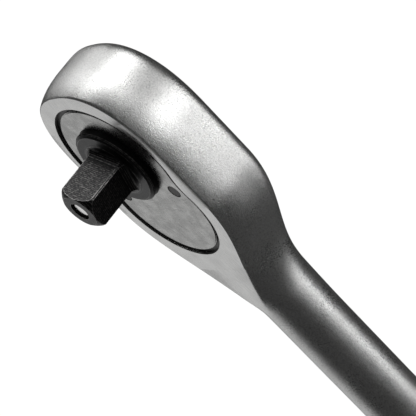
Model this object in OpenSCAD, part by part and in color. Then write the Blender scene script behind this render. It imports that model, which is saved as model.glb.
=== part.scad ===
// Reversible ratchet wrench with a quarter-inch square drive, twin pawls and
// a push-button socket release.
// The origin lies where the drive axis meets the ground front face of the head.
// +Z leaves that face along the drive square, +X runs along the handle.

/* [Head] */
// Greatest half width of the head
head_half_width = 14.6; // [14:0.1:15.5]
// Reach of the rounded nose ahead of the drive axis
head_nose = 15.5; // [14.8:0.1:16.5]
// Height of the head's widest line
head_mid_z = -6.5; // [-6.8:0.1:-6.2]
// Height of the flat back of the head
head_back_z = -12.2; // [-12.25:0.01:-12.1]

/* [Handle] */
// Diameter of the round shank
shank_d = 10.5; // [10:0.1:11]
// Height of the shank's axis
shank_z = -5.6; // [-5.8:0.1:-5.4]
// Distance from the drive axis to the end of the handle
handle_end = 134.5; // [132:0.5:140]
// Start of the moulded grip
grip_start = 71; // [70:0.5:74]
// Greatest radius of the soft sleeve
grip_r = 8.5; // [8.3:0.1:8.55]
// Radius of the hanging hole
hang_hole_r = 2.5; // [2:0.1:2.7]

/* [Drive] */
// Side of the drive square
square_side = 6.3; // [6.2:0.01:6.35]
// Length of the drive from the head's face to its end
drive_length = 9.85; // [9.5:0.05:10.5]
// Angle of the drive square about its axis at rest
drive_turn = -29.8; // [-45:0.1:45]
// Radius of the round collar under the square
collar_r = 7.4; // [7.2:0.05:7.45]
// Height of the collar above the face
collar_rise = 1.17; // [0.9:0.05:1.4]
// Number of ratchet teeth
teeth = 60; // [60]
// Outside radius of the ratchet gear
gear_r = 8.3; // [8.2:0.05:8.3]

/* [Cover plate] */
// Radius of the plate opening about the drive axis
lobe_r = 11.93; // [11.7:0.01:12]
// Radius of the plate opening's lobe towards the handle
lobe2_r = 10.95; // [10.8:0.01:11.1]
// Distance from the drive axis to that lobe's centre
lobe2_x = 10; // [9.8:0.1:10.2]
// Depth of the plate's top below the face
plate_sink = 0.25; // [0.2:0.05:0.3]

/* [Reversing lever] */
// Distance from the drive axis to the lever's axis
lever_x = 12.6; // [12.6]
// Angle of the lever either side of the handle's axis
lever_swing = 25; // [25]
// Length of the thumb tab from the lever's axis
tab_length = 14.5; // [13:0.5:16]

/* [Hidden] */
$fn = 96;
e = 0.01;

shank_r = shank_d / 2;
steel = "silver";
black = "#2a2a2c";

// Skin of the forged head, which ends a hair inside the shank so that the shank's surface counts
neck_r = shank_r - 0.03;
neck_end = 46;
neck_step = 2;
nose_power = 2.37;
nose_rings = 12;
ring_points = 48;

// Heights inside the head
ledge_z = -1.65;
plate_step_z = -1.05;
plate_top_z = -plate_sink;
ring_top_z = -0.62;
pocket_z = -9;
gear_top_z = -1.9;
gear_low_z = -8.45;
pawl_top_z = -1.95;
pawl_low_z = -7.9;
run_fit = 0.05;

// Recesses in the head: pocket for the pawls, seal grooves and detent hole
pawl_pocket_x = 11.5;
pawl_pocket_r = 8.1;
spindle_groove_r = 5.3;
selector_groove_r = 2.75;
detent_hole_r = 0.8;

// Edges of the plate: wide foot, body and narrowed rim, measured inside the opening
plate_foot_gap = 0.08;
plate_body_gap = 0.8;
plate_rim_gap = 0.95;
plate_rim = 0.15;
ring_groove = 0.35;
ring_width = 0.74;

// Journal of the spindle in the back wall, and the button inside it
journal_r = 4.4;
button_bore_r = 3.5;
button_bore_z = -8.5;
spring_bore_r = 2.4;
spring_seat_z = -5;
button_face_z = -9.9;
button_r = 2.72;
button_low_z = -13.3;
rod_r = 1.38;
rod_top_z = drive_length - 0.35;
rod_low_z = -12.4;
rod_mouth_r = 1.71;

// Fillet between the square and its collar, and radius of the square's rounded corners
flare_r = 1.2;
flare_steps = 5;
corner_r = 4.28;

// Ball that holds a socket on the square
ball_r = 1.1;
ball_z = 5.5;
ball_out = rod_r + ball_r + 0.02;
ball_turn = drive_turn + 270;

// Pawls: pivot, toothed foot and tail of the engaged left pawl
pin = [7.06, 7.74];
pin_r = 1.17;
foot = [9.4, 2.9];
foot_r = 2.1;
knee = [lever_x, 2.55];
tail = [15.6, 1.75];
tail_w = 1.4;
boss_r = 1.95;
pawl_lift = 8;
pitch = 360 / teeth;
root_r = gear_r - 0.55;

// Selector
selector_r = 2;
finger_length = 3.4;
finger_w = 1.5;
detent_reach = 3.3;
detent_ball_r = 0.75;
hub_r = 4.2;
hub_top_z = head_back_z - 0.1;
hub_low_z = -14.2;

// Opening of the snap ring
ring_gap = 1.3;
ring_gap_turn = 45.7;

// Fillet that joins the two lobes of the plate opening
fillet_r = 9;
fillet_x = (pow(lobe_r + fillet_r, 2) - pow(lobe2_r + fillet_r, 2) + pow(lobe2_x, 2))
    / (2 * lobe2_x);
fillet_y = sqrt(pow(lobe_r + fillet_r, 2) - pow(fillet_x, 2));

// Grip: hard core, soft sleeve and end cap with its hanging eye
core_r = 6.1;
core_rim = 2;
ferrule = 2.5;
grip_end = handle_end - 10.5;
grip_rings = 28;
rib_from = 0.55;
rib_step = 0.05;
rib_r = 0.8;
eye_r = 5.8;
eye_x = handle_end - eye_r;
eye_thick = 6;

// ---- shared shapes -------------------------------------------------------

// Round disc or tube from one height to another
module disc(r, low, high, hole = 0) {
    translate([0, 0, low]) difference() {
        cylinder(r = r, h = high - low);
        if (hole > 0) translate([0, 0, -e]) cylinder(r = hole, h = high - low + 2 * e);
    }
}

// Ring of round wire
module wire_ring(r, wire, z) {
    translate([0, 0, z]) rotate_extrude() translate([r, 0]) circle(r = wire, $fn = 32);
}

// Flat bar with round ends between two points
module bar(a, b, w) {
    d = b - a;
    translate(a) rotate(atan2(d[1], d[0])) {
        translate([0, -w / 2]) square([norm(d), w]);
        circle(d = w);
        translate([norm(d), 0]) circle(d = w);
    }
}

// Turns its children about an upright axis through a point
module turn_about(p, angle) {
    translate(p) rotate(angle) translate(-p) children();
}

// Outline of the plate opening, grown outwards by g
module plate_outline(g) {
    circle(r = lobe_r + g);
    translate([lobe2_x, 0]) circle(r = lobe2_r + g);
    for (s = [0, 1]) mirror([0, s]) difference() {
        polygon([[0, -1], [lobe2_x, -1], [fillet_x, fillet_y]]);
        translate([fillet_x, fillet_y]) circle(r = fillet_r - g);
    }
}

module plate_slab(g, low, high) {
    translate([0, 0, low]) linear_extrude(high - low) plate_outline(g);
}

// Coil spring as stacked rings joined by a thin sleeve wall
module coil(r, wire, low, high, turns) {
    step = (high - low - 2 * wire) / (turns - 1);
    for (i = [0 : turns - 1]) wire_ring(r, wire, low + wire + i * step);
    disc(r + wire / 3, low + wire / 2, high - wire / 2, r - wire / 3);
}

// ---- forged body ---------------------------------------------------------

// Smooth ramp from one value to another between two stations
function ramp(x, x1, x2, from, to) =
    let (t = min(max((x - x1) / (x2 - x1), 0), 1))
    from + (to - from) * (0.5 - 0.5 * cos(180 * t));

function half_width(x) = ramp(x, 10, 34, head_half_width, neck_r);
function reach_up(x) = ramp(x, 14.5, 37, 13.2, neck_r);
function reach_down(x) = ramp(x, 18, 45, 5.8, neck_r);
function mid_z(x) = ramp(x, 10, 34, head_mid_z, shank_z);
function top_power(x) = ramp(x, 10, 34, 2.5, 2);
function low_power(x) = ramp(x, 10, 34, 6, 2);

// One point of the cross-section at station x, at angle t from straight up
function skin_point(x, t) =
    let (a = max(-x, 0) / head_nose,
         up = cos(t) >= 0,
         p = up ? top_power(x) : low_power(x),
         reach = up ? reach_up(x) : reach_down(x),
         h = pow(1 - pow(a, p), 1 / p) * pow(abs(cos(t)), 2 / p),
         w = pow(max(1 - pow(h, p), 0), 1 / p),
         y = pow(max(pow(w, nose_power) - pow(a, nose_power), 0), 1 / nose_power))
    [x, sign(sin(t)) * half_width(x) * y, mid_z(x) + (up ? 1 : -1) * reach * h];

stations = concat(
    [for (i = [nose_rings - 1 : -1 : 1]) -head_nose * sin(90 * i / nose_rings)],
    [for (x = [0 : neck_step : neck_end]) x]);

// Closed skin lofted through the stations, with a point at the nose
module forged_skin() {
    n = ring_points;
    last = len(stations) - 1;
    points = concat([[-head_nose, 0, head_mid_z]],
        [for (x = stations) for (i = [0 : n - 1]) skin_point(x, 360 * i / n)],
        [[neck_end, 0, shank_z]]);
    nose = [for (i = [0 : n - 1]) [0, 1 + (i + 1) % n, 1 + i]];
    sides = [for (k = [0 : last - 1]) for (i = [0 : n - 1])
        let (a = 1 + k * n + i, b = 1 + k * n + (i + 1) % n)
        each [[a, b + n, a + n], [a, b, b + n]]];
    rim = 1 + last * n;
    end = [for (i = [0 : n - 1]) [rim + i, rim + (i + 1) % n, rim + n]];
    polyhedron(points = points, faces = concat(nose, sides, end));
}

module along_handle(x) {
    translate([x, 0, shank_z]) rotate([0, 90, 0]) children();
}

module body() {
    color(steel) difference() {
        union() {
            intersection() {
                forged_skin();
                translate([-20, -20, head_back_z]) cube([80, 40, -head_back_z]);
            }
            along_handle(neck_end - 1) cylinder(r = shank_r, h = grip_end - neck_end - 0.5);
        }
        plate_slab(0, ledge_z, 1);
        plate_slab(ring_groove, plate_step_z - 0.03, ring_top_z + run_fit);
        disc(gear_r + 0.45, pocket_z, 0);
        translate([pawl_pocket_x, 0, 0]) disc(pawl_pocket_r, pocket_z, 0);
        for (s = [-1, 1]) translate([pin[0], s * pin[1], 0]) {
            disc(boss_r + 0.4, pocket_z, 0);
            disc(pin_r, pocket_z - 2, 0);
        }
        disc(journal_r + run_fit, head_back_z - 1, 0);
        disc(spindle_groove_r, -11.35, -10.45);
        translate([lever_x, 0, 0]) {
            disc(selector_r + run_fit, head_back_z - 1, 0);
            disc(selector_groove_r, -11.1, -10.4);
        }
        translate([lever_x + detent_reach, 0, 0])
            disc(detent_hole_r, head_back_z - 1, head_back_z + 2.2);
    }
}

// ---- cover of the mechanism ---------------------------------------------

module cover_plate() {
    color("#b4b3b0") difference() {
        union() {
            plate_slab(-plate_foot_gap, ledge_z, plate_step_z);
            plate_slab(-plate_body_gap, plate_step_z - e, plate_top_z - plate_rim);
            plate_slab(-plate_rim_gap, plate_top_z - plate_rim - e, plate_top_z);
        }
        disc(collar_r + 0.08, -3, 1);
        for (s = [-1, 1]) translate([pin[0], s * pin[1], 0]) disc(pin_r + run_fit, -3, 1);
    }
}

// Flat wire ring sprung into the groove above the plate's step, open at one side
module plate_snap_ring() {
    color("#8c8b88") difference() {
        plate_slab(ring_groove - run_fit, plate_step_z, ring_top_z);
        plate_slab(-ring_width, plate_step_z - 1, 0);
        rotate(ring_gap_turn) translate([9, -ring_gap / 2, -3]) cube([9, ring_gap, 4]);
    }
}

module pawl_pins() {
    color(black) for (s = [-1, 1]) translate([pin[0], s * pin[1], 0]) {
        disc(pin_r, pocket_z - 2, plate_top_z - plate_rim);
        translate([0, 0, plate_top_z - plate_rim]) cylinder(r1 = pin_r, r2 = pin_r - 0.12, h = 0.12);
    }
}

// ---- drive ---------------------------------------------------------------

function polar(r, a) = [r * cos(a), r * sin(a)];

// Ratchet teeth, grown outwards by g
module tooth_outline(g) {
    polygon([for (i = [0 : teeth - 1]) let (a = i * pitch) each [
        polar(root_r + g, a - 0.45 * pitch), polar(gear_r + g, a - 0.07 * pitch),
        polar(gear_r + g, a + 0.07 * pitch), polar(root_r + g, a + 0.45 * pitch)]]);
}

// Turned outline of the drive above the gear: collar, flare and chamfered end
module drive_envelope() {
    rotate_extrude() polygon(concat(
        [[0, gear_top_z], [collar_r, gear_top_z], [collar_r, collar_rise - 0.45],
         [collar_r - 0.12, collar_rise - 0.28], [collar_r - 0.55, collar_rise]],
        [for (i = [0 : 6]) [corner_r + flare_r * (1 - sin(15 * i)),
                            collar_rise + flare_r * (1 - cos(15 * i))]],
        [[corner_r, drive_length - 1.1], [corner_r - 0.22, drive_length - 0.75],
         [3.69, drive_length - 0.42], [3.1, drive_length], [0, drive_length]]));
}

// Square skirt that blends the flats into the collar
module square_flare() {
    half = square_side / 2;
    grow = concat([flare_r], [for (i = [0 : flare_steps]) flare_r * (1 - sin(15 * i))], [-0.1]);
    level = concat([gear_top_z + 0.3],
        [for (i = [0 : flare_steps]) collar_rise + flare_r * (1 - cos(15 * i))],
        [collar_rise + flare_r + 0.05]);
    last = len(level) - 1;
    points = [for (k = [0 : last]) let (s = half + grow[k], z = level[k])
        each [[s, s, z], [-s, s, z], [-s, -s, z], [s, -s, z]]];
    sides = [for (k = [0 : last - 1]) for (i = [0 : 3])
        let (a = 4 * k + i, b = 4 * k + (i + 1) % 4) [a, a + 4, b + 4, b]];
    roof = [for (i = [3 : -1 : 0]) 4 * last + i];
    polyhedron(points = points, faces = concat([[0, 1, 2, 3]], sides, [roof]));
}

module drive_spindle() {
    half = square_side / 2;
    color(black) difference() {
        union() {
            translate([0, 0, gear_low_z]) linear_extrude(gear_top_z - gear_low_z) tooth_outline(0);
            disc(journal_r, head_back_z, gear_low_z + e);
            intersection() {
                drive_envelope();
                rotate(drive_turn) union() {
                    translate([-half, -half, 0]) cube([square_side, square_side, drive_length + 1]);
                    square_flare();
                    disc(20, gear_top_z - 1, collar_rise + 0.08);
                }
            }
            disc(collar_r, gear_top_z - e, gear_top_z + 0.2);
        }
        disc(rod_r + run_fit, spring_seat_z - 1, drive_length + 1);
        disc(rod_mouth_r, drive_length - 0.5, drive_length + 1);
        disc(spring_bore_r, button_bore_z - 1, spring_seat_z);
        disc(button_bore_r, head_back_z - 1, button_bore_z);
        rotate(ball_turn) translate([0, 0, ball_z]) rotate([0, 90, 0]) {
            cylinder(r = ball_r + run_fit, h = half - 0.1);
            cylinder(r = ball_r - 0.13, h = half + 1);
        }
    }
}

module thrust_washer() {
    color("#9a8f6a") disc(7.4, -8.93, -8.5, journal_r + 0.1);
}

module spindle_oring() {
    color("#1c1c1c") wire_ring(4.86, 0.42, -10.9);
}

// ---- pawls ---------------------------------------------------------------

// Outline of the left pawl: its pivot boss, and with the foot and tail where wanted
module pawl_plan(with_foot) {
    difference() {
        union() {
            translate(pin) circle(r = boss_r);
            if (with_foot) {
                bar(pin, foot, 2.9);
                bar(foot, knee, tail_w);
                bar(knee, tail, tail_w);
                translate(foot) circle(r = foot_r);
            }
        }
        translate(pin) circle(r = pin_r + run_fit);
    }
}

// Left pawl with its teeth meshed in the gear
module engaged_pawl() {
    translate([0, 0, pawl_low_z]) linear_extrude(pawl_top_z - pawl_low_z) difference() {
        pawl_plan(true);
        tooth_outline(run_fit);
        rotate(27) square([gear_r + 0.15, gear_r + 0.15]);
    }
    translate([0, 0, pocket_z + run_fit]) linear_extrude(pawl_low_z - pocket_z)
        pawl_plan(false);
}

module left_pawl() {
    color("#77767a") engaged_pawl();
}

module right_pawl() {
    color("#77767a") turn_about([pin[0], -pin[1], 0], -pawl_lift)
        mirror([0, 1, 0]) engaged_pawl();
}

// Strip spring bent round both tails, which presses the pawls to the gear
module pawl_spring() {
    r = 4.8;
    color("#6d7075") translate([14.5, 0, -8.9]) {
        intersection() {
            disc(r, 0, 6, r - 0.45);
            translate([0, -10, -1]) cube([10, 20, 10]);
        }
        for (s = [-1, 1]) translate([-1.7, s * (r - 0.225) - 0.225, 0]) cube([1.7 + e, 0.45, 6]);
    }
}

// ---- selector ------------------------------------------------------------

// Places its children on the lever's axis, turned to the rest side
module at_lever() {
    translate([lever_x, 0, 0]) rotate(-lever_swing) children();
}

module selector_cam() {
    spigot = 2.6;
    color("#8a8a8e") at_lever() difference() {
        union() {
            disc(1.5, pocket_z + 0.8, pawl_top_z);
            translate([0, 0, pawl_low_z + 0.1]) linear_extrude(pawl_top_z - pawl_low_z - 0.3)
                bar([0, 0], [finger_length, 0], finger_w);
            disc(2.6, pocket_z + run_fit, pocket_z + 0.85);
            disc(selector_r, hub_top_z, pocket_z + 0.1);
            translate([-spigot / 2, -spigot / 2, hub_top_z - 0.8]) cube([spigot, spigot, 1]);
        }
        disc(0.7, hub_top_z - 2, pocket_z);
    }
}

module selector_oring() {
    color("#1c1c1c") translate([lever_x, 0, 0]) wire_ring(2.39, 0.32, -10.75);
}

module reversing_lever() {
    groove_r = detent_ball_r + 0.12;
    groove_z = head_back_z + 0.35;
    color("#3a3a3c") at_lever() difference() {
        union() {
            disc(hub_r, hub_low_z + 0.3, hub_top_z);
            translate([0, 0, hub_low_z]) cylinder(r1 = hub_r - 0.3, r2 = hub_r, h = 0.3 + e);
            translate([0, 0, hub_low_z]) linear_extrude(1.7) bar([3, 0], [tab_length - 2.5, 0], 5);
            for (i = [0 : 3]) translate([tab_length - 6.4 + 1.5 * i, -1.9, hub_low_z + 1.6])
                rotate([-90, 0, 0]) cylinder(r = 0.4, h = 3.8, $fn = 32);
        }
        translate([-1.3, -1.3, hub_top_z - 0.8]) cube([2.6, 2.6, 2]);
        disc(0.95, hub_low_z - 1, hub_top_z);
        translate([0, 0, hub_low_z - e]) cylinder(r1 = 1.9, r2 = 0.95, h = 0.95);
        translate([0, 0, groove_z]) rotate(-lever_swing)
            rotate_extrude(angle = 2 * lever_swing) translate([detent_reach, 0])
                circle(r = groove_r, $fn = 32);
        for (a = [-lever_swing, lever_swing]) rotate(a) translate([detent_reach, 0, groove_z])
            sphere(r = groove_r, $fn = 32);
    }
}

module lever_screw() {
    color("#5a5a5e") at_lever() difference() {
        union() {
            translate([0, 0, hub_low_z + 0.05]) cylinder(r1 = 1.8, r2 = 0.7, h = 1.05);
            disc(0.7, hub_low_z + 1, pocket_z - 0.5);
        }
        translate([-0.25, -2, hub_low_z - 1]) cube([0.5, 4, 1.4]);
    }
}

module lever_detent_ball() {
    color(steel) translate([lever_x + detent_reach, 0, head_back_z + 0.35])
        sphere(r = detent_ball_r, $fn = 48);
}

module lever_detent_spring() {
    color(steel) translate([lever_x + detent_reach, 0, 0])
        coil(0.5, 0.15, head_back_z + 1.12, head_back_z + 2.18, 3);
}

// ---- socket release ------------------------------------------------------

// Rod with a ramp that lets the ball drop in when the button is pressed
module release_rod() {
    color("#e4e4e6") rotate_extrude() polygon([
        [0, rod_low_z], [rod_r, rod_low_z],
        [rod_r, ball_z - 2.35], [0.92, ball_z - 1.6], [0.94, ball_z - 1],
        [rod_r, ball_z + 0.25], [rod_r, rod_top_z - 0.15], [rod_r - 0.15, rod_top_z],
        [0, rod_top_z]]);
}

module release_button() {
    flange = 0.6;
    color(black) difference() {
        union() {
            disc(button_bore_r - 0.08, button_face_z - flange, button_face_z);
            disc(button_r, button_low_z + 0.25, button_face_z - flange + e);
            translate([0, 0, button_low_z])
                cylinder(r1 = button_r - 0.25, r2 = button_r, h = 0.25 + e);
        }
        disc(rod_r, rod_low_z, button_face_z + 1);
        translate([0, 0, button_low_z - 5.6]) sphere(r = 5.9);
    }
}

module button_bushing() {
    color("#55555a") disc(button_bore_r, head_back_z + 0.1, button_face_z - 0.65, button_r + 0.08);
}

module release_spring() {
    color(steel) coil(1.95, 0.24, button_face_z, spring_seat_z, 6);
}

module socket_ball() {
    color(steel) rotate(ball_turn) translate([ball_out, 0, ball_z]) sphere(r = ball_r, $fn = 48);
}

// ---- grip ----------------------------------------------------------------

// Radius of the soft sleeve at a share t of its length: two swells and a waist
function first_swell(t) = 0.72 * pow(sin(180 * t / 0.62), 0.8) + ramp(t, 0.31, 0.5, 0, 0.2);
function second_swell(t) = ramp(t, 0.5, 0.74, first_swell(0.5), 1) - ramp(t, 0.8, 1, 0, 0.45);
function sleeve_r(t) =
    core_r + 0.55 + (grip_r - core_r - 0.55) * (t < 0.5 ? first_swell(t) : second_swell(t));

module grip_core() {
    color("#303236") along_handle(grip_start) {
        difference() {
            union() {
                cylinder(r = core_r, h = grip_end - grip_start);
                cylinder(r = core_r + 0.9, h = core_rim);
            }
            translate([0, 0, -1]) cylinder(r = shank_r, h = grip_end - grip_start + 2);
        }
    }
}

module grip_sleeve() {
    length = grip_end - grip_start - core_rim;
    color("#232427") along_handle(grip_start + core_rim) rotate_extrude() difference() {
        polygon(concat([[core_r, 0]],
            [for (i = [0 : grip_rings]) [sleeve_r(i / grip_rings), length * i / grip_rings]],
            [[core_r, length]]));
        for (i = [0 : 7]) let (t = rib_from + rib_step * i)
            translate([sleeve_r(t) + 0.25, length * t]) circle(r = rib_r, $fn = 32);
    }
}

module grip_ferrule() {
    color("#b8b8ba") along_handle(grip_start - ferrule) rotate_extrude() difference() {
        translate([shank_r, 0]) square([1.35, ferrule]);
        translate([shank_r + 1.35, 0]) rotate(45) square(0.7, center = true);
    }
}

module end_cap() {
    color("#303236") difference() {
        union() {
            along_handle(grip_end) cylinder(r1 = 7.4, r2 = 6.6, h = 1.8);
            translate([eye_x, 0, shank_z - eye_thick / 2]) cylinder(r = eye_r, h = eye_thick);
            translate([grip_end + 1, -eye_r, shank_z - eye_thick / 2])
                cube([eye_x - grip_end - 1, 2 * eye_r, eye_thick]);
        }
        translate([eye_x + 0.7, 0, shank_z - 10]) cylinder(r = hang_hole_r, h = 20);
    }
}

body();
cover_plate();
plate_snap_ring();
pawl_pins();
drive_spindle();
thrust_washer();
spindle_oring();
left_pawl();
right_pawl();
pawl_spring();
selector_cam();
selector_oring();
reversing_lever();
lever_screw();
lever_detent_ball();
lever_detent_spring();
release_rod();
release_button();
button_bushing();
release_spring();
socket_ball();
grip_core();
grip_sleeve();
grip_ferrule();
end_cap();
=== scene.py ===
import math

import bmesh
import bpy
from mathutils import Matrix, Vector


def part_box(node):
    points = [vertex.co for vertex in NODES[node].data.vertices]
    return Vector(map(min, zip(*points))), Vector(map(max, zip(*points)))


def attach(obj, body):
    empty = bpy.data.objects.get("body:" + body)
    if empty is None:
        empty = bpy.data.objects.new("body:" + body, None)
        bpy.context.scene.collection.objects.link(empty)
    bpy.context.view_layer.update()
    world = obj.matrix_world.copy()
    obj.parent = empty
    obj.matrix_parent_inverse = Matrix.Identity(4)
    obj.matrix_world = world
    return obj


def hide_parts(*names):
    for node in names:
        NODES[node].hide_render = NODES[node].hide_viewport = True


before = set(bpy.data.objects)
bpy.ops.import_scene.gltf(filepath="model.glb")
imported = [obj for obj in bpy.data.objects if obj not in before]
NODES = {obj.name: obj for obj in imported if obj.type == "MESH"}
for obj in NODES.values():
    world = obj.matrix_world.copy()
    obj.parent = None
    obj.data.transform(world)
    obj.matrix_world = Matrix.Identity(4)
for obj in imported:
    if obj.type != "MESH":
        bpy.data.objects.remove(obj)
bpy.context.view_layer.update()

MM = 0.001

# ---- the forged body's shape, in millimetres, as the CAD source states it --

HALF_WIDTH = 14.6
NOSE = 15.5
MID_Z = -6.5
BACK_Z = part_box("body")[0].z / MM
SHANK_R = 5.25
SHANK_Z = -5.6
SHANK_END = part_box("body")[1].x / MM
NOSE_POWER = 2.37
LOBE_R, LOBE2_R, LOBE2_X, FILLET_R = 11.93, 10.95, 10.0, 9.0
LEDGE_Z, STEP_Z, POCKET_Z = -1.65, -1.05, -9.0
GEAR_POCKET_R, PAWL_POCKET_R, PAWL_POCKET_X = 8.75, 8.1, 11.5
PIN = (7.06, 7.74)
PIN_POCKET_R, PIN_R = 2.35, 1.17
JOURNAL_BORE_R = 4.45
LEVER_X, SELECTOR_BORE_R = 12.6, 2.05
DETENT_X, DETENT_R = 15.9, 0.8
GROOVE_GROW, GROOVE_TOP_Z = 0.35, -0.57
SPINDLE_GROOVE = (5.3, -11.35, -10.45)
SELECTOR_GROOVE = (2.75, -11.1, -10.4)
# fineness of the skin: rings over the nose, station step along the head, rings along the shank
NOSE_RINGS, STATION_STEP, SHANK_RINGS = 36, 0.75, 12
FINE_END, SHANK_START = 50, 54
SIDE_POINTS = 44
FACE_ROUND = 0.3
# what counts as the ground face and its edge: how level it is, and how deep it reaches
FACE_TILT = 0.3
FACE_DEPTH = 0.3


def ramp(x, x1, x2, start, end):
    """A smooth ramp from one value to another between two stations."""
    t = min(max((x - x1) / (x2 - x1), 0.0), 1.0)
    return start + (end - start) * (0.5 - 0.5 * math.cos(math.pi * t))


def section(x):
    """Half width, reach up, reach down, middle height and the two powers at station x."""
    return (ramp(x, 10, 34, HALF_WIDTH, SHANK_R), ramp(x, 14.5, 37, 13.2, SHANK_R),
            ramp(x, 18, 45, 5.8, SHANK_R), ramp(x, 10, 34, MID_Z, SHANK_Z),
            ramp(x, 10, 34, 2.5, 2), ramp(x, 10, 34, 6, 2))


def profile(x, count):
    """Points (y, z) of one side of the section at station x, from the face edge down to the back."""
    width, up, down, mid, up_power, low_power = section(x)
    ahead = max(-x, 0.0) / NOSE
    points = []
    top_share = (1 - ahead ** up_power) ** (1 / up_power)
    low_share = (1 - ahead ** low_power) ** (1 / low_power)
    top = min(1.0, -mid / (up * top_share) if top_share > 1e-6 else 1.0)
    low = min(1.0, (mid - BACK_Z) / (down * low_share) if low_share > 1e-6 else 1.0)
    first = math.acos(top ** (up_power / 2))
    last = math.pi - math.acos(low ** (low_power / 2))
    for i in range(count + 1):
        # more points near the face edge, where the edge is rounded
        share = i / count
        t = first + (last - first) * (0.55 * share + 0.45 * share * share)
        c = math.cos(t)
        power, reach, whole = (up_power, up, top_share) if c >= 0 else (low_power, down, low_share)
        h = whole * abs(c) ** (2 / power)
        w = max(1 - h ** power, 0.0) ** (1 / power)
        y = width * max(w ** NOSE_POWER - ahead ** NOSE_POWER, 0.0) ** (1 / NOSE_POWER)
        z = mid + math.copysign(reach * h, c)
        if i == 0:
            z = min(z, 0.0)
        if z > -FACE_ROUND and y > FACE_ROUND:
            rise = (z + FACE_ROUND) / FACE_ROUND
            y -= FACE_ROUND * (1 - math.sqrt(max(1 - rise * rise, 0.0)))
        points.append((y, z))
    return points


def plan_outline(grow, steps=14):
    """Closed outline of the plate opening: two lobes joined by fillets, grown outwards."""
    fx = ((LOBE_R + FILLET_R) ** 2 - (LOBE2_R + FILLET_R) ** 2 + LOBE2_X ** 2) / (2 * LOBE2_X)
    fy = math.sqrt((LOBE_R + FILLET_R) ** 2 - fx ** 2)
    a = math.atan2(fy, fx)
    b = math.atan2(fy, fx - LOBE2_X)
    lobe = arc((0, 0), LOBE_R + grow, a, 2 * math.pi - a, 6 * steps)
    low = arc((fx, -fy), FILLET_R - grow, math.pi - a, math.pi - b, steps)
    lobe2 = arc((LOBE2_X, 0), LOBE2_R + grow, -b, b, 5 * steps)
    high = arc((fx, fy), FILLET_R - grow, math.pi + b, math.pi + a, steps)
    return lobe + low[1:] + lobe2[1:] + high[1:-1]


def arc(centre, r, start, end, steps):
    """Points along an arc, in the plane."""
    angles = [start + (end - start) * i / steps for i in range(steps + 1)]
    return [(centre[0] + r * math.cos(t), centre[1] + r * math.sin(t)) for t in angles]


# ---- mesh helpers ----------------------------------------------------------

def new_object(name, bm):
    """A mesh object in the scene from a bmesh in millimetres."""
    bmesh.ops.scale(bm, vec=(MM, MM, MM), verts=bm.verts)
    bmesh.ops.recalc_face_normals(bm, faces=bm.faces)
    mesh = bpy.data.meshes.new(name)
    bm.to_mesh(mesh)
    bm.free()
    made = bpy.data.objects.new(name, mesh)
    bpy.context.scene.collection.objects.link(made)
    return made


def prism(name, outline, low, high):
    """An upright prism over a closed outline."""
    bm = bmesh.new()
    bottom = [bm.verts.new((x, y, low)) for x, y in outline]
    top = [bm.verts.new((x, y, high)) for x, y in outline]
    count = len(outline)
    bm.faces.new(bottom[::-1])
    bm.faces.new(top)
    for i in range(count):
        j = (i + 1) % count
        bm.faces.new((bottom[i], bottom[j], top[j], top[i]))
    return new_object(name, bm)


def round_hole(name, x, y, r, low, high, steps=96):
    """A cutter for a round hole."""
    return prism(name, arc((x, y), r, 0, 2 * math.pi * (1 - 1 / steps), steps - 1), low, high)


def cut(target, cutter):
    """Cuts a hole in target and removes the cutter."""
    hole = target.modifiers.new("cut", "BOOLEAN")
    hole.operation = "DIFFERENCE"
    hole.solver = "EXACT"
    hole.object = cutter
    apply_modifiers(target)
    bpy.data.objects.remove(cutter)


def apply_modifiers(target):
    """Turns the evaluated mesh into the object's own."""
    graph = bpy.context.evaluated_depsgraph_get()
    done = bpy.data.meshes.new_from_object(target.evaluated_get(graph))
    old = target.data
    target.modifiers.clear()
    target.data = done
    bpy.data.meshes.remove(old)


def smooth(target, angle=30):
    """Smooth shading with sharp edges kept above an angle."""
    for face in target.data.polygons:
        face.use_smooth = True
    target.data.set_sharp_from_angle(angle=math.radians(angle))


def bevel(target, width, segments=3, angle=35):
    """Rounded edges on a node, with normals that keep its flats flat."""
    rounding = target.modifiers.new("edge", "BEVEL")
    rounding.width = width * MM
    rounding.segments = segments
    rounding.limit_method = "ANGLE"
    rounding.angle_limit = math.radians(angle)
    rounding.harden_normals = True
    rounding.use_clamp_overlap = True


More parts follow.
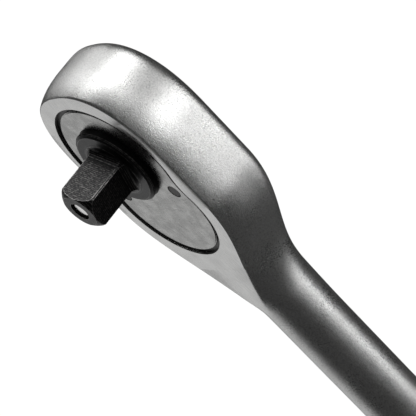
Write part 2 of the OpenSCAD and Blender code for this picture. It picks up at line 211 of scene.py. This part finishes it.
def forged_body():
    """The head and shank as one smooth skin with the plate's recess, the bores and the pockets cut."""
    rows = [-NOSE * math.sin(math.pi / 2 * i / NOSE_RINGS) for i in range(NOSE_RINGS - 1, 0, -1)]
    rows += [STATION_STEP * i for i in range(int(FINE_END / STATION_STEP))]
    rows += [SHANK_START + (SHANK_END - SHANK_START) * i / SHANK_RINGS for i in range(SHANK_RINGS + 1)]
    bm = bmesh.new()
    rings = []
    for x in rows:
        side = profile(x, SIDE_POINTS)
        ring = [(y, z) for y, z in side] + [(-y, z) for y, z in side[::-1]]
        rings.append([bm.verts.new((x, y, z)) for y, z in ring])
    nose = bm.verts.new((-NOSE, 0, MID_Z))
    total = 2 * (SIDE_POINTS + 1)
    for i in range(total):
        j = (i + 1) % total
        bm.faces.new((nose, rings[0][i], rings[0][j]))
        for a, b in zip(rings, rings[1:]):
            bm.faces.new((a[i], b[i], b[j], a[j]))
    bm.faces.new(rings[-1])
    bmesh.ops.remove_doubles(bm, verts=bm.verts, dist=0.002)
    bmesh.ops.dissolve_degenerate(bm, dist=0.001, edges=bm.edges)
    made = new_object("forged_body", bm)
    cut(made, prism("recess", plan_outline(0), LEDGE_Z, 1))
    cut(made, prism("groove", plan_outline(GROOVE_GROW), STEP_Z - 0.03, GROOVE_TOP_Z))
    cut(made, round_hole("gear_pocket", 0, 0, GEAR_POCKET_R, POCKET_Z, 0))
    cut(made, round_hole("pawl_pocket", PAWL_POCKET_X, 0, PAWL_POCKET_R, POCKET_Z, 0))
    for side in (-1, 1):
        x, y = PIN[0], side * PIN[1]
        cut(made, round_hole("boss_pocket", x, y, PIN_POCKET_R, POCKET_Z, 0))
        cut(made, round_hole("pin_hole", x, y, PIN_R + 0.01, POCKET_Z - 2.01, 0))
    cut(made, round_hole("journal_bore", 0, 0, JOURNAL_BORE_R, BACK_Z - 1, 0))
    cut(made, round_hole("ring_groove", 0, 0, *SPINDLE_GROOVE))
    cut(made, round_hole("selector_bore", LEVER_X, 0, SELECTOR_BORE_R, BACK_Z - 1, 0))
    cut(made, round_hole("seal_groove", LEVER_X, 0, *SELECTOR_GROOVE))
    cut(made, round_hole("detent_hole", DETENT_X, 0, DETENT_R, BACK_Z - 1, BACK_Z + 2.2, 32))
    smooth(made, 32)
    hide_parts("body")
    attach(made, "wrench")
    return made


# ---- material helpers ------------------------------------------------------

class Look:
    """A node material built up step by step. Sizes are in millimetres."""

    def __init__(self, name, metallic=1.0, roughness=0.4, colour=(0.5, 0.5, 0.5), **sockets):
        self.material = bpy.data.materials.new(name)
        self.material.use_nodes = True
        self.tree = self.material.node_tree
        self.tree.nodes.clear()
        self.out = self.tree.nodes.new("ShaderNodeOutputMaterial")
        self.shader = self.tree.nodes.new("ShaderNodeBsdfPrincipled")
        self.tree.links.new(self.shader.outputs["BSDF"], self.out.inputs["Surface"])
        self.shader.inputs["Metallic"].default_value = metallic
        self.shader.inputs["Roughness"].default_value = roughness
        self.shader.inputs["Base Color"].default_value = (*colour, 1)
        for socket, value in sockets.items():
            self.shader.inputs[socket.replace("_", " ")].default_value = value
        self.place = self.node("ShaderNodeTexCoord").outputs["Object"]

    def node(self, kind, **inputs):
        made = self.tree.nodes.new(kind)
        for socket, value in inputs.items():
            self.feed(made.inputs[socket.replace("_", " ")], value)
        return made

    def feed(self, socket, value):
        if isinstance(value, bpy.types.NodeSocket):
            self.tree.links.new(value, socket)
        else:
            socket.default_value = value

    def stretched(self, scale):
        """Object coordinates in millimetres, scaled per axis."""
        made = self.node("ShaderNodeMapping", Vector=self.place)
        made.inputs["Scale"].default_value = [s / MM for s in scale]
        return made.outputs["Vector"]

    def noise(self, size, detail=2.0, rough=0.5, scale=(1, 1, 1)):
        """Noise whose blobs are about size millimetres across."""
        made = self.node("ShaderNodeTexNoise", Vector=self.stretched(scale), Scale=1 / size,
                         Detail=detail, Roughness=rough)
        return made.outputs["Fac"]

    def cells(self, size):
        """Distance to the nearest of scattered points about size millimetres apart."""
        made = self.node("ShaderNodeTexVoronoi", Vector=self.stretched((1, 1, 1)), Scale=1 / size)
        return made.outputs["Distance"]

    def waves(self, pitch, direction, distortion=0.0, detail=1.0):
        """Parallel bands one pitch apart."""
        made = self.tree.nodes.new("ShaderNodeTexWave")
        made.bands_direction = direction
        self.feed(made.inputs["Vector"], self.stretched((1, 1, 1)))
        made.inputs["Scale"].default_value = math.pi / (10 * pitch)
        made.inputs["Distortion"].default_value = distortion
        made.inputs["Detail"].default_value = detail
        return made.outputs["Fac"]

    def range(self, value, low, high, to_low=0.0, to_high=1.0):
        """Maps a value from one range to another, clamped."""
        made = self.node("ShaderNodeMapRange", Value=value)
        limits = {"From Min": low, "From Max": high, "To Min": to_low, "To Max": to_high}
        for socket, number in limits.items():
            made.inputs[socket].default_value = number
        return made.outputs["Result"]

    def maths(self, operation, a, b=0.0):
        made = self.tree.nodes.new("ShaderNodeMath")
        made.operation = operation
        self.feed(made.inputs[0], a)
        self.feed(made.inputs[1], b)
        return made.outputs[0]

    def mix(self, share, a, b):
        """Colour between a and b."""
        made = self.tree.nodes.new("ShaderNodeMix")
        made.data_type = "RGBA"
        self.feed(made.inputs["Factor"], share)
        for socket, colour in ((made.inputs[6], a), (made.inputs[7], b)):
            self.feed(socket, colour if isinstance(colour, bpy.types.NodeSocket) else (*colour, 1))
        return made.outputs[2]

    def edge(self, reach, low=0.02, high=0.25):
        """1 on edges whose rounding within reach millimetres turns the surface, 0 on flats."""
        round_normal = self.tree.nodes.new("ShaderNodeBevel")
        round_normal.samples = 6
        round_normal.inputs["Radius"].default_value = reach * MM
        flat = self.node("ShaderNodeNewGeometry").outputs["Normal"]
        turn = self.tree.nodes.new("ShaderNodeVectorMath")
        turn.operation = "DISTANCE"
        self.feed(turn.inputs[0], round_normal.outputs[0])
        self.feed(turn.inputs[1], flat)
        return self.range(turn.outputs["Value"], low, high)

    def bump(self, height, depth, after=None):
        """A bump of that depth in millimetres; after is an earlier bump to add to."""
        made = self.node("ShaderNodeBump", Height=height)
        made.inputs["Strength"].default_value = 1.0
        made.inputs["Distance"].default_value = depth * MM
        if after is not None:
            self.feed(made.inputs["Normal"], after)
        self.tree.links.new(made.outputs["Normal"], self.shader.inputs["Normal"])
        return made.outputs["Normal"]

    def set(self, socket, value):
        self.feed(self.shader.inputs[socket], value)


# ---- materials -------------------------------------------------------------

def blasted_steel():
    """Satin blasted and plated steel: sparkling grain, faint clouds, dark specks and small dents."""
    look = Look("blasted_steel", roughness=0.3)
    clouds = look.noise(6, 3)
    grain = look.noise(0.17, 2, 0.6)
    pits = look.range(look.noise(0.3, 3, 0.75), 0.30, 0.44)
    specks = look.range(look.cells(0.9), 0.04, 0.10, 1, 0)
    rare = look.range(look.noise(1.6, 1), 0.5, 0.56)
    # scattered dark specks, kept to sparse patches, darken the colour
    dark_specks = look.maths("MULTIPLY", specks, rare)
    tone = look.mix(look.range(grain, 0.3, 0.7), (0.42, 0.42, 0.415), (0.82, 0.82, 0.81))
    tone = look.mix(look.range(clouds, 0.35, 0.7, 0, 0.3), tone, (0.56, 0.56, 0.555))
    tone = look.mix(pits, (0.30, 0.30, 0.305), tone)
    look.set("Base Color", look.mix(dark_specks, tone, (0.06, 0.058, 0.055)))
    look.set("Roughness", look.range(look.maths("ADD", grain, clouds), 0.7, 1.3, 0.25, 0.36))
    first = look.bump(grain, 0.05)
    look.bump(look.range(look.cells(2.3), 0.03, 0.08), 0.03, first)
    return look.material


def ground_face():
    """Ground front face of the head: bright, with fine straight marks."""
    look = Look("ground_face", roughness=0.3)
    marks = look.noise(0.12, 2, 0.6, (0.06, 1, 1))
    clouds = look.noise(3.5, 3)
    tone = look.mix(look.range(clouds, 0.3, 0.7), (0.62, 0.62, 0.615), (0.74, 0.74, 0.73))
    look.set("Base Color", tone)
    look.set("Roughness", look.range(marks, 0.3, 0.7, 0.24, 0.36))
    look.bump(marks, 0.004)
    return look.material


def plate_steel():
    """Cover plate: satin ground, mottled, with fine scratches both ways."""
    look = Look("plate_steel", roughness=0.28)
    mottle = look.noise(0.45, 3, 0.6)
    clouds = look.noise(2.6, 3)
    across = look.range(look.noise(0.09, 1, 0.5, (0.03, 1, 1)), 0.62, 0.75)
    along = look.range(look.noise(0.09, 1, 0.5, (1, 0.04, 1)), 0.64, 0.75)
    scratches = look.maths("MAXIMUM", across, along)
    tone = look.mix(look.range(mottle, 0.3, 0.7), (0.33, 0.33, 0.325), (0.56, 0.56, 0.55))
    tone = look.mix(look.range(clouds, 0.4, 0.6, 0, 0.65), tone, (0.26, 0.26, 0.255))
    look.set("Base Color", look.mix(scratches, tone, (0.62, 0.62, 0.61)))
    look.set("Roughness", look.range(mottle, 0.25, 0.75, 0.2, 0.34))
    look.bump(look.maths("SUBTRACT", mottle, look.maths("MULTIPLY", scratches, 0.6)), 0.004)
    return look.material


def black_oxide(name, wear=0.5, marks_above=None):
    """Black oxide on steel: grey worn edges, rubbed patches, and milling marks above a height."""
    look = Look(name, metallic=0.85, roughness=0.4)
    lines = look.waves(0.3, "Z", 3.5, 3)
    if marks_above is not None:
        height = look.node("ShaderNodeSeparateXYZ", Vector=look.place).outputs["Z"]
        milled = look.range(height, marks_above * MM, (marks_above + 0.4) * MM)
        lines = look.maths("MULTIPLY", lines, milled)
    grain = look.noise(0.14, 2)
    rubbed = look.range(look.noise(0.5, 4, 0.75, (1, 1, 2.5)), 0.46, 0.6)
    edges = look.edge(0.2)
    worn = look.maths("MULTIPLY", edges, look.range(look.noise(0.5, 2), 0.35, 0.6, 0.1, 1))
    tone = look.mix(look.range(grain, 0.3, 0.7), (0.008, 0.008, 0.009), (0.022, 0.022, 0.022))
    patches = look.maths("MULTIPLY", look.maths("MULTIPLY", rubbed, lines), 0.6 * wear)
    tone = look.mix(patches, tone, (0.20, 0.195, 0.19))
    look.set("Base Color", look.mix(look.maths("MULTIPLY", worn, wear), tone, (0.30, 0.295, 0.29)))
    look.set("Roughness", look.range(grain, 0.3, 0.7, 0.3, 0.46))
    first = look.bump(lines, 0.006)
    look.bump(grain, 0.006, first)
    return look.material


def polished_steel():
    """Bright turned steel with faint marks of wear."""
    look = Look("polished_steel", roughness=0.12)
    marks = look.noise(0.2, 3)
    tone = look.mix(look.range(marks, 0.3, 0.7), (0.86, 0.86, 0.85), (0.95, 0.95, 0.94))
    look.set("Base Color", tone)
    look.set("Roughness", look.range(marks, 0.3, 0.7, 0.08, 0.2))
    look.bump(marks, 0.002)
    return look.material


def tool_steel(name, colour, roughness=0.35):
    """Hardened steel with grinding marks."""
    look = Look(name, roughness=roughness)
    marks = look.noise(0.1, 2, 0.6, (1, 1, 0.08))
    clouds = look.noise(1.5, 2)
    darker = tuple(0.75 * c for c in colour)
    look.set("Base Color", look.mix(look.range(clouds, 0.3, 0.7), darker, colour))
    look.set("Roughness", look.range(marks, 0.3, 0.7, roughness - 0.08, roughness + 0.1))
    look.bump(marks, 0.004)
    return look.material


def seal_rubber():
    """Black rubber with a faint bloom."""
    look = Look("seal_rubber_look", metallic=0.0, roughness=0.6)
    grain = look.noise(0.15, 3)
    tone = look.mix(look.range(grain, 0.3, 0.7), (0.012, 0.012, 0.012), (0.03, 0.03, 0.03))
    look.set("Base Color", tone)
    look.set("Roughness", look.range(grain, 0.3, 0.7, 0.5, 0.7))
    look.bump(grain, 0.01)
    return look.material


def moulded_plastic():
    """Charcoal moulded plastic with spark-eroded grain."""
    look = Look("moulded_plastic", metallic=0.0, roughness=0.45)
    grain = look.noise(0.22, 3, 0.6)
    scuffs = look.range(look.noise(0.2, 2, 0.5, (0.1, 1, 1)), 0.62, 0.78)
    tone = look.mix(look.range(grain, 0.3, 0.7), (0.028, 0.029, 0.032), (0.045, 0.046, 0.05))
    look.set("Base Color", look.mix(look.maths("MULTIPLY", scuffs, 0.3), tone, (0.10, 0.10, 0.105)))
    look.set("Roughness", look.range(grain, 0.3, 0.7, 0.38, 0.52))
    look.bump(grain, 0.025)
    return look.material


def grip_rubber():
    """Soft black sleeve with a fine pebbled skin, painted shade in the valleys between the pebbles,
    and faint patches of dust.
    """
    look = Look("grip_rubber_look", metallic=0.0, roughness=0.62)
    pebbles = look.cells(0.42)
    dust = look.range(look.noise(5, 3), 0.45, 0.7)
    # pebble tops lighter and the valleys between them darker: painted shade in the valleys
    tone = look.mix(look.range(pebbles, 0.1, 0.6), (0.022, 0.022, 0.024), (0.012, 0.012, 0.013))
    look.set("Base Color", look.mix(look.maths("MULTIPLY", dust, 0.35), tone, (0.05, 0.049, 0.047)))
    look.set("Roughness", look.range(pebbles, 0.0, 0.6, 0.55, 0.72))
    look.bump(look.range(pebbles, 0.0, 0.6, 1, 0), 0.04)
    return look.material


def paint(target, *materials):
    """Gives an object its materials, in the order of its slots."""
    target.data.materials.clear()
    for material in materials:
        target.data.materials.append(material)


# ---- the object ------------------------------------------------------------

steel_body = forged_body()
paint(steel_body, blasted_steel(), ground_face())
for face in steel_body.data.polygons:
    if face.normal.z > FACE_TILT and face.center.z > -FACE_DEPTH * MM:
        face.material_index = 1

drive_black = black_oxide("drive_black", 0.9, 2.4)
lever_black = black_oxide("lever_black", 0.5)
bright = polished_steel()
spring_wire = tool_steel("spring_wire", (0.30, 0.30, 0.31), 0.25)
hardened = tool_steel("hardened_steel", (0.30, 0.295, 0.29))
rubber = seal_rubber()
plastic = moulded_plastic()

LOOKS = {
    "cover_plate": plate_steel(),
    # the snap ring's near-black colour is partly the ring's dark steel and partly painted shade of the
    # gap around the plate
    "plate_snap_ring": tool_steel("ring_steel_and_painted_gap_shade", (0.05, 0.05, 0.05), 0.35),
    "pawl_pins": tool_steel("pin_steel", (0.015, 0.015, 0.014), 0.3),
    "drive_spindle": drive_black,
    "thrust_washer": tool_steel("washer_bronze", (0.45, 0.36, 0.2)),
    "spindle_oring": rubber,
    "left_pawl": hardened,
    "right_pawl": hardened,
    "pawl_spring": spring_wire,
    "selector_cam": hardened,
    "selector_oring": rubber,
    "reversing_lever": lever_black,
    "lever_screw": hardened,
    "lever_detent_ball": bright,
    "lever_detent_spring": spring_wire,
    "release_rod": bright,
    "release_button": lever_black,
    "button_bushing": hardened,
    "release_spring": spring_wire,
    "socket_ball": bright,
    "grip_core": plastic,
    "grip_sleeve": grip_rubber(),
    "grip_ferrule": tool_steel("ferrule_steel", (0.62, 0.62, 0.61), 0.3),
    "end_cap": plastic,
}
BEVELS = {"cover_plate": 0.08, "drive_spindle": 0.16, "reversing_lever": 0.3, "lever_screw": 0.08,
          "release_button": 0.1, "grip_sleeve": 0.25, "grip_core": 0.3, "grip_ferrule": 0.15,
          "end_cap": 0.6, "pawl_pins": 0.05, "plate_snap_ring": 0.08, "release_rod": 0.08}

for name, material in LOOKS.items():
    paint(NODES[name], material)
    smooth(NODES[name])
for name, width in BEVELS.items():
    bevel(NODES[name], width)

# ---- stage, lights and camera ---------------------------------------------

FLOOR_Z = -0.8
FLOOR_HALF = 5
WORLD_STRENGTH = 0.05
AIM = Vector((0.02, 0, 0))
LIGHT_DISTANCE = 0.6
PANEL = (0.28, 0.28)
# name, direction from the aim, size in metres and power in watts
SOFTBOXES = (
    ("key", (0.0, 0.95, -0.3), PANEL, 0.9),
    ("nose", (-0.92, 0.09, -0.38), PANEL, 1.1),
    ("nose_low", (-0.96, -0.25, -0.09), PANEL, 0.6),
    ("left", (-0.65, -0.71, -0.27), PANEL, 0.4),
    ("upper", (-0.78, 0.6, -0.2), PANEL, 0.42),
    ("front", (-0.42, 0.84, -0.25), PANEL, 0.2),
    ("face", (0.32, -0.85, 0.42), (0.6, 0.6), 0.66),
    ("stripe", (0.36, 0.69, -0.63), (0.6, 0.08), 0.62),
)
LENS, SENSOR = 173.2, 36
CAMERA_PLACE = Vector((-0.09623, 0.26999, 0.10649))
CAMERA_RIGHT = Vector((0.6505, 0.5061, -0.5663))
CAMERA_BACK = Vector((-0.3592, 0.862, 0.3578))


def floor():
    """A plain pale floor well below the wrench."""
    bm = bmesh.new()
    bmesh.ops.create_grid(bm, x_segments=8, y_segments=8, size=FLOOR_HALF)
    mesh = bpy.data.meshes.new("floor")
    bm.to_mesh(mesh)
    bm.free()
    made = bpy.data.objects.new("floor", mesh)
    bpy.context.scene.collection.objects.link(made)
    made.location.z = FLOOR_Z
    look = Look("pale_floor", metallic=0.0, roughness=0.9)
    cloud = look.noise(60, 2)
    look.set("Base Color", look.mix(cloud, (0.90, 0.90, 0.90), (0.93, 0.93, 0.93)))
    look.shader.inputs["Emission Color"].default_value = (1, 1, 1, 1)
    look.shader.inputs["Emission Strength"].default_value = 1.0
    paint(made, look.material)
    # a white floor would wash out the dark side of the steel and stop the lights below it
    made.visible_glossy = False
    made.visible_diffuse = False
    made.visible_shadow = False


def softbox(name, towards, size, power):
    """A rectangular light that shines at the head from a direction."""
    light = bpy.data.lights.new(name, "AREA")
    light.shape = "RECTANGLE"
    light.size, light.size_y = size
    light.energy = power
    made = bpy.data.objects.new(name, light)
    bpy.context.scene.collection.objects.link(made)
    made.visible_camera = False
    direction = Vector(towards).normalized()
    made.location = AIM + direction * LIGHT_DISTANCE
    made.rotation_euler = direction.to_track_quat("Z", "Y").to_euler()


def surroundings(strength):
    world = bpy.data.worlds.new("studio")
    bpy.context.scene.world = world
    world.use_nodes = True
    back = world.node_tree.nodes["Background"]
    back.inputs["Color"].default_value = (1, 1, 1, 1)
    back.inputs["Strength"].default_value = strength


def camera():
    """The camera at the angle the wrench is seen from."""
    lens = bpy.data.cameras.new("camera")
    lens.lens = LENS
    lens.sensor_width = SENSOR
    lens.clip_start = 0.01
    made = bpy.data.objects.new("camera", lens)
    bpy.context.scene.collection.objects.link(made)
    back = CAMERA_BACK.normalized()
    right = (CAMERA_RIGHT - back * CAMERA_RIGHT.dot(back)).normalized()
    up = back.cross(right)
    turn = Matrix((right, up, back)).transposed().to_4x4()
    made.matrix_world = Matrix.Translation(CAMERA_PLACE) @ turn
    bpy.context.scene.camera = made


floor()
surroundings(WORLD_STRENGTH)
for light in SOFTBOXES:
    softbox(*light)
camera()
bpy.context.scene.view_settings.view_transform = "Standard"
